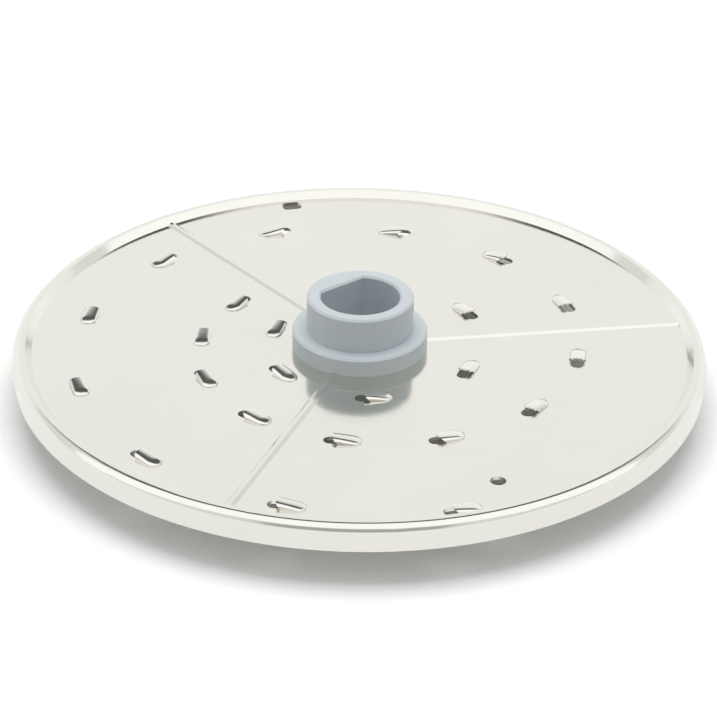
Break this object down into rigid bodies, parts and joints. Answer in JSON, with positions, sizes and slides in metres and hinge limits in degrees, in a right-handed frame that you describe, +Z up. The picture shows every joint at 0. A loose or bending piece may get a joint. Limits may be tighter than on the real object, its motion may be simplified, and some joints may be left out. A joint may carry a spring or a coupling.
{
  "type": "food processor grating disc",
  "caption": "Round stamped steel grating disc with a spiral of hooded teeth, raised ribs, a turned-down rim and a plastic drive hub with a D-shaped bore.",
  "frame": {"origin": "centre of the hub's lower end face, on the disc's axis", "axes": "+Z up along the disc's axis, out of the toothed face; +X to the right in the picture, a little to one side of one rib; +Y away from the viewer"},
  "size_m": [0.175, 0.175, 0.0281],
  "materials": {
    "polished_steel": "polished stainless sheet",
    "hub_plastic": "smooth moulded blue-grey plastic"
  },
  "bodies": {
    "root": {"grating_disc": "polished_steel", "drive_hub": "hub_plastic"}
  },
  "joints": []
}
